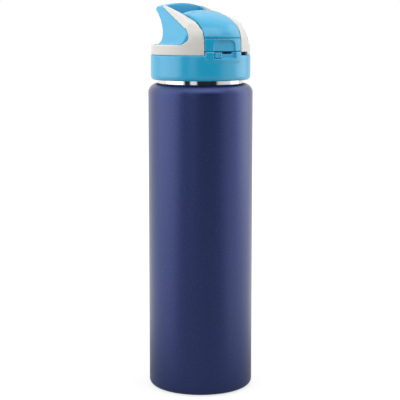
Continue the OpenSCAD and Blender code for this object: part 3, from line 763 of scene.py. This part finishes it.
lid = {"half": round(span("lid_shell", "x")[1] - 0.15, 3), "line": 11.8, "gap": 0.15, "wall": 1.8,
       "knuckle": 6.9, "crown": 38.5, "eye": 3.7, "eyeSink": 0.02, "pinPlay": 0.05,
       "backLow": (-3, -4.4), "backHigh": (1, 0.4),
       "catchAt": 5, "catchHalf": 1.4, "catchY": (-27, -25.7), "catchU": (10.2, 20.4),
       "voxel": 0.3, "rounds": 6, "edge": 2.4, "edgeFrom": 13.5, "edgeRounds": 60}
# the post that stands behind the button and carries its stems
rest = {"y": -25.2, "back": -23.8, "half": 11, "below": 2, "hole": 1.5, "root": 0.5}


def domed(name, inset, foot):
    # the inside of the dome, turned whole down to a foot
    return turned(name, [(0, foot), (cap["radius"] - inset, foot)] + wholeDome(inset), 160)


def lidBlock(name, inset):
    y, u = hinge["y"], hinge["u"]
    crown = lid["crown"]
    block = domed(name, inset, -cap["sink"] - inset)
    keepWithin(block, brick("behind", (-beyond, -beyond, -beyond), (beyond, y, beyond)))
    join(block, peg("knuckle", (0, y, u), lid["knuckle"] - inset, 2 * lid["half"] + 4 + inset, "X"))
    return keepWithin(block, peg("vault", (0, 0, cap["domeTop"] - crown), crown - inset, 2 * beyond, "Y"))


def onUpperEdge(place, normal):
    # the lid's long edges, along the sides and over the top
    if abs(place.x) <= lid["half"] - lid["edge"] or place.z <= cap["seat"] + lid["edgeFrom"]:
        return False
    behind = normal.y > 0.25 and place.y > hinge["y"]
    return abs(normal.x) > 0.02 and (normal.z > 0.1 or normal.y < -0.25 or behind)


def makeLid():
    half, wall, y, u = lid["half"], lid["wall"], hinge["y"], hinge["u"]
    foot, (lowY, lowU), (highY, highU) = lid["line"] + lid["gap"], lid["backLow"], lid["backHigh"]
    back = y + lid["knuckle"] + highY
    shell = lidBlock("flip_lid", 0)
    hollow = lidBlock("hollow", wall)
    keepWithin(hollow, brick("sides", (wall - half, -beyond, -beyond), (half - wall, beyond, beyond)))
    cutAway(shell, hollow)
    # the lower edge runs level to the front and up to the knuckle behind
    outline = [(-beyond, foot), (rest["y"] - 3, foot), (y + lowY, u + lowU), (back, u + highU),
               (back, beyond), (-beyond, beyond)]
    keepWithin(shell, plateFrom("profile", [(-half, a, b) for a, b in outline], (2 * half, 0, 0)))
    (frontY, backY), (low, high) = lid["catchY"], lid["catchU"]
    for side in (-1, 1):
        join(shell, peg("eye", (side * (half - wall - lid["eyeSink"]), y, u), lid["eye"], 2 * wall, "X"))
        left, right = side * lid["catchAt"] - lid["catchHalf"], side * lid["catchAt"] + lid["catchHalf"]
        join(shell, brick("catch", (left, frontY, low), (right, backY, high)))
    cutAway(shell, peg("bore", (0, y, u), hinge["pin"] / 2 + lid["pinPlay"], 2 * beyond, "X"))
    moulded(lifted(shell), lid["voxel"], lid["rounds"])
    easeWhere(shell, onUpperEdge, lid["edgeRounds"])
    dress(shell, "blue", "lid", "blue_plastic", "lid_shell")


button = {"low": above("push_button")[0], "high": above("push_button")[1], "plate": -29.9, "middle": 7.3,
          "hollow": 8.3, "hollowLow": -4.1, "hollowTop": 1.3, "hollowRound": 4, "hollowDeep": 32.6,
          "seat": 1.7, "seatLong": 2.2, "stemAt": 8, "stem": 1.2, "stemLong": 6.1, "root": 0.5,
          "voxel": 0.24, "rounds": 7}


def thumbHollow():
    half, corner, top = button["hollow"], button["hollowRound"], button["high"] - button["hollowTop"]
    outline = ([(-half, button["hollowLow"]), (half, button["hollowLow"])]
               + arc(half - corner, top - corner, corner, 0, 90, 10)
               + arc(corner - half, top - corner, corner, 90, 180, 10))
    return plateFrom("hollow", [(x, -button["hollowDeep"], u) for x, u in outline], (0, -10, 0))


def makeButton():
    b = button
    half, plate, middle = lid["half"], b["plate"], b["middle"]
    pad = domed("push_pad", 0, -cap["sink"])
    keepWithin(pad, brick("span", (-half, -beyond, b["low"]), (half, plate, b["high"])))
    cutAway(pad, thumbHollow())
    seatY = plate - b["root"] + b["seatLong"] / 2
    stemY = plate - b["root"] + b["stemLong"] / 2
    join(pad, peg("seat", (0, seatY, middle), b["seat"], b["seatLong"], "Y"))
    for side in (-1, 1):
        join(pad, peg("stem", (side * b["stemAt"], stemY, middle), b["stem"], b["stemLong"], "Y"))
    moulded(lifted(pad), b["voxel"], b["rounds"])
    dress(pad, "blue", "button", "blue_plastic", "push_button")


spring = {"wire": 0.7, "radius": 2.4, "turns": 4, "travel": 1.6, "steps": 28, "smoothTo": 50}


def makeSpring():
    # the coil behind the button, wound at one length; the real one shortens as the button goes in
    wire, turns = spring["wire"], spring["turns"]
    low, high = (Vector(corner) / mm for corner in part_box("button_spring"))
    long = high.y - low.y
    quietScene()
    bpy.ops.mesh.primitive_circle_add(vertices=16, radius=wire / 2 * mm)
    coil = bpy.context.object
    coil.name = "press_spring"
    bpy.ops.object.mode_set(mode="EDIT")
    bpy.ops.transform.translate(value=(spring["radius"] * mm, 0, 0))
    bpy.ops.object.mode_set(mode="OBJECT")
    wind = coil.modifiers.new("wind", "SCREW")
    wind.axis = "Y"
    wind.angle = math.tau * turns
    wind.screw_offset = (long - wire) * mm
    wind.steps = wind.render_steps = spring["steps"] * turns
    bpy.ops.object.modifier_apply(modifier=wind.name)
    bpy.ops.transform.translate(value=(0, (low.y + wire / 2) * mm, (low.z + high.z) / 2 * mm))
    bpy.ops.object.transform_apply(location=True, rotation=True, scale=True)
    bpy.ops.object.mode_set(mode="EDIT")
    bpy.ops.mesh.select_all(action="SELECT")
    bpy.ops.mesh.fill_holes(sides=0)
    tidyMesh()
    shadeBy(coil, spring["smoothTo"])
    dress(coil, "wire", "cap", "spring_steel", "button_spring")
    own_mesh(coil)


lock = {"face": -32.9, "x": sum(span("lock_slider", "x")) / 2, "half": 3, "deep": 1, "bevel": 0.35,
        "ribPitch": 1.8, "ribHalf": 0.35, "ribProud": 0.4, "ribSink": 0.6, "ribInset": 0.45,
        "shank": 1, "shankY": (-0.1, 3.1), "shankU": (1.5, 2.18), "tail": 2, "tailY": (2.8, 3.5),
        "tailLow": 0.5, "voxel": 0.13, "rounds": 4}


def makeLock():
    # a ribbed knob, a shank that runs in the track and a wider tail behind it
    k = lock
    face, x, (low, high) = k["face"], k["x"], above("lock_slider")
    knob = brick("lock_knob", (x - k["half"], face - k["deep"], low), (x + k["half"], face, high))
    takeUp(knob)
    bevel = knob.modifiers.new("edge", "BEVEL")
    bevel.width = k["bevel"] * mm
    bevel.segments = 3
    bpy.ops.object.modifier_apply(modifier=bevel.name)
    for i in (-1, 0, 1):
        left, right = x + k["ribPitch"] * i - k["ribHalf"], x + k["ribPitch"] * i + k["ribHalf"]
        join(knob, brick("rib", (left, face - k["deep"] - k["ribProud"], low + k["ribInset"]),
                         (right, face - k["ribSink"], high - k["ribInset"])))
    for name, bottom, top in (("shank", *k["shankU"]), ("tail", k["tailLow"], high)):
        front, back = k[name + "Y"]
        join(knob, brick(name, (x - k[name], face + front, bottom), (x + k[name], face + back, top)))
    moulded(lifted(knob), k["voxel"], k["rounds"])
    dress(knob, "blue", "lock", "blue_plastic", "lock_slider")


collar = {"bore": 31.1, "outer": span("collar", "x")[1], "foot": above("collar")[0], "core": 32.1,
          "deckLow": -1.9, "guide": 26.6, "guideWall": 1.4, "guideDeep": 3.6, "edge": 0.3, "topEdge": 0.35,
          "heel": ((1.5, 0), (0.95, 0.35), (0.2, 1.7), (0, 2.5)),
          "panelOut": -span("collar", "y")[0], "panelBack": -30.3, "panelDrop": 4.1, "panelTop": 2.65,
          "panelRound": 3, "panelLap": 0.1,
          # half width, front, back and foot of the lock's track and of the notch behind it
          "track": (8.3, -37, -32.6, -2), "notch": (6.5, -34, -29.6, 1.2), "cutTop": 4,
          # place along y and radius of the holes under the spout and the valve
          "drink": (-12, 7), "air": (1.35, 1.25),
          "threadRoot": 0.2, "threadCrest": 1.3, "threadFrom": 4.9, "steps": 192,
          "voxel": 0.44, "rounds": 5}


def frontPanel():
    c, half = collar, lid["half"]
    corner, top = c["panelRound"], c["panelTop"]
    centre = corner - c["panelDrop"]
    outline = (arc(half - corner, centre, corner, -90, 0, 10) + [(half, top), (-half, top)]
               + arc(corner - half, centre, corner, 180, 270, 10))
    out, back = c["panelOut"], c["panelBack"]
    panel = plateFrom("panel", [(x, back, u) for x, u in outline], (0, -6, 0))
    keepWithin(panel, turned("skin", [(0, -beyond), (out, -beyond), (out, beyond), (0, beyond)]))
    cutAway(panel, brick("back", (-beyond, back - c["panelLap"], cap["deck"]), (beyond, beyond, beyond)))
    return panel


def makeCollar():
    c, deck = collar, cap["deck"]
    bore, outer, foot, deckLow, core = (c[name] for name in ("bore", "outer", "foot", "deckLow", "core"))
    guide, guideFoot, edge, topEdge = c["guide"], deckLow - c["guideDeep"], c["edge"], c["topEdge"]
    inner = guide - c["guideWall"]
    profile = ([(bore, foot + edge), (bore + edge, foot)]
               + [(outer - inward, foot + up) for inward, up in c["heel"]]
               + [(outer, -topEdge), (outer - topEdge, 0), (core, 0), (core, deck), (0, deck),
                  (0, deckLow), (inner, deckLow), (inner, guideFoot), (guide, guideFoot),
                  (guide, deckLow), (bore, deckLow), (bore, foot + edge)])
    body = turned("screw_collar", profile, c["steps"])
    join(body, frontPanel())
    post = brick("rest", (-rest["half"], rest["y"], deck - rest["root"]),
                 (rest["half"], rest["back"], lid["line"] - rest["below"]))
    for side in (-1, 1):
        cutAway(post, peg("hole", (side * button["stemAt"], -24, button["middle"]), rest["hole"], 8, "Y"))
    join(body, post)
    for name in ("track", "notch"):
        half, front, back, low = c[name]
        cutAway(body, brick(name, (-half, front, low), (half, back, c["cutTop"])))
    for name in ("drink", "air"):
        y, radius = c[name]
        cutAway(body, peg(name, (0, y, -1), radius, 9))
    moulded(lifted(body), c["voxel"], c["rounds"])
    dress(body, "blue", "cap", "blue_plastic", "collar")
    ridge = threadOn("collar_thread", bore + c["threadRoot"], bore - c["threadCrest"],
                     cap["seat"] + foot + c["threadFrom"])
    dress(ridge, "blue", "cap", "blue_plastic")


makeLid()
makeButton()
makeSpring()
makeLock()
makeCollar()


studio = {
    # the camera's side in degrees round from the front, its rise, and what it aims at
    "side": -29, "pitch": 8.2, "distance": 900 * mm, "lens": 114.5, "sensor": 36,
    "aimRight": -0.36 * mm, "aimHeight": 132.5 * mm, "lampAim": 140 * mm,
    # brightness of the walls by degrees to the right of the camera, and of what is above them
    "walls": ((-180, 1.0), (-120, 1.1), (-60, 1.1), (-46, 0.9), (-42, 0.03), (-30, 0.03), (-25, 0.9),
              (-12, 0.8), (-7, 0.02), (42, 0.02), (50, 0.65), (90, 0.9), (140, 0.9), (180, 0.9)),
    "ceilingFrom": (0.4, 0.8), "ceiling": 0.9,
    # degrees to the right of the camera, height, distance, width, length and power
    "softboxes": {
        "softboxLeft": (-76, 0.4, 0.95, 1.1, 1.5, 3.7), "softboxRight": (108, 0.5, 0.9, 0.7, 1.2, 2.7),
        "softboxTop": (170, 1.1, 0.55, 1.2, 0.9, 1), "softboxFront": (15, 1.25, 0.8, 1.7, 1.2, 6.8),
    },
}
# the floor glows as painted light: as things reflect it, a painted shadow darkens it under the bottle and
# it is painted dark in front, and as it is seen it is white
floorPaper = {"size": 6.0, "sink": 0.2 * mm, "color": (0.3, 0.3, 0.3), "grain": 1.5,
              "low": (0.28, 0.28, 0.28), "high": (0.32, 0.32, 0.32),
              "seen": (0.72, 0.72, 0.72), "seenFrom": (0.05, 0.9),
              "shade": (0.09, 0.09, 0.09), "paintedShadowFrom": (0.05, 0.3),
              "ground": ((-180, 0.7), (-60, 0.65), (-48, 0.06), (48, 0.06), (60, 0.65), (180, 0.7))}


def outward(turn, rise=0):
    # the way from the bottle to a point, turn degrees to the right of the camera's side
    across, up = math.radians(studio["side"] + turn), math.radians(rise)
    return Vector((math.sin(across) * math.cos(up), -math.cos(across) * math.cos(up), math.sin(up)))


def addSoftbox(name, turn, height, distance, width, long, power):
    place = outward(turn) * distance + Vector((0, 0, height))
    bpy.ops.object.light_add(type="AREA", location=place)
    lamp = bpy.context.object
    lamp.name = name
    lamp.data.shape = "RECTANGLE"
    lamp.data.size = width
    lamp.data.size_y = long
    lamp.data.energy = power
    lamp.rotation_euler = (Vector((0, 0, studio["lampAim"])) - place).to_track_quat("-Z", "Y").to_euler()


def levelRound(sheet, levels):
    # brightness by degrees to the right of the camera's side
    ahead, right = (sheet.add("ShaderNodeVectorMath", {"operation": "DOT_PRODUCT"},
                              {0: sheet.place, 1: outward(turn)}, "Value") for turn in (0, 90))
    turn = right.calc("ARCTAN2", right, ahead) * (1 / math.tau) + 0.5
    stops = [(0.5 + degrees / 360, (level, level, level, 1)) for degrees, level in levels]
    return sheet.add("ShaderNodeValToRGB", {"stops": stops}, {"Fac": turn})


def addWorld():
    # white seen directly; round the bottle the walls are bright and the side of the camera is dark
    world = bpy.data.worlds.new("studio")
    bpy.context.scene.world = world
    world.use_nodes = True
    world.node_tree.nodes.clear()
    glow = Sheet(world.node_tree, "Generated")
    high = glow.height().step(*studio["ceilingFrom"])
    lit = glow.blend(high, levelRound(glow, studio["walls"]), (studio["ceiling"],) * 3)
    soft = glow.add("ShaderNodeBackground", {}, {"Color": lit})
    plain = glow.add("ShaderNodeBackground", {}, {"Color": (1, 1, 1, 1)})
    seen = glow.add("ShaderNodeLightPath", {}, {}, "Is Camera Ray")
    mix = glow.add("ShaderNodeMixShader", {}, {0: seen, 1: soft, 2: plain})
    glow.add("ShaderNodeOutputWorld", {}, {"Surface": mix})


def addFloor():
    f = floorPaper
    quietScene()
    bpy.ops.mesh.primitive_plane_add(size=f["size"], location=(0, 0, -f["sink"]))
    floor = bpy.context.object
    floor.name = "floor"
    paper = Finish("floor_paper", f["color"], 0.9, Specular_IOR_Level=0.0, Emission_Strength=1.0)
    away = paper.add("ShaderNodeVectorMath", {"operation": "LENGTH"}, {0: paper.place}, "Value")
    seen = paper.add("ShaderNodeLightPath", {}, {}, "Is Camera Ray")
    bright = paper.blend(away.step(*f["seenFrom"]), f["seen"], (1, 1, 1))
    # painted shadow: the glow that other surfaces see is dark near the bottle's foot and follows the
    # ground levels farther out
    glowWithPaintedShadow = paper.blend(away.step(*f["paintedShadowFrom"]), f["shade"], levelRound(paper, f["ground"]))
    paper.put("Base Color", paper.blend(paper.noise(f["grain"]), f["low"], f["high"]))
    paper.put("Emission Color", paper.blend(seen, glowWithPaintedShadow, bright))
    floor.data.materials.append(paper.material)


def placeCamera():
    back = outward(0, studio["pitch"])
    aim = Vector((0, 0, studio["aimHeight"])) + outward(90) * studio["aimRight"]
    bpy.ops.object.camera_add(location=aim + back * studio["distance"])
    camera = bpy.context.object
    camera.name = "camera"
    camera.rotation_euler = (-back).to_track_quat("-Z", "Y").to_euler()
    camera.data.lens = studio["lens"]
    camera.data.sensor_width = studio["sensor"]
    camera.data.clip_start = 0.01
    bpy.context.scene.camera = camera


addFloor()
addWorld()
for name, settings in studio["softboxes"].items():
    addSoftbox(name, *settings)
placeCamera()
bpy.context.scene.view_settings.view_transform = "Standard"
print("studio set")
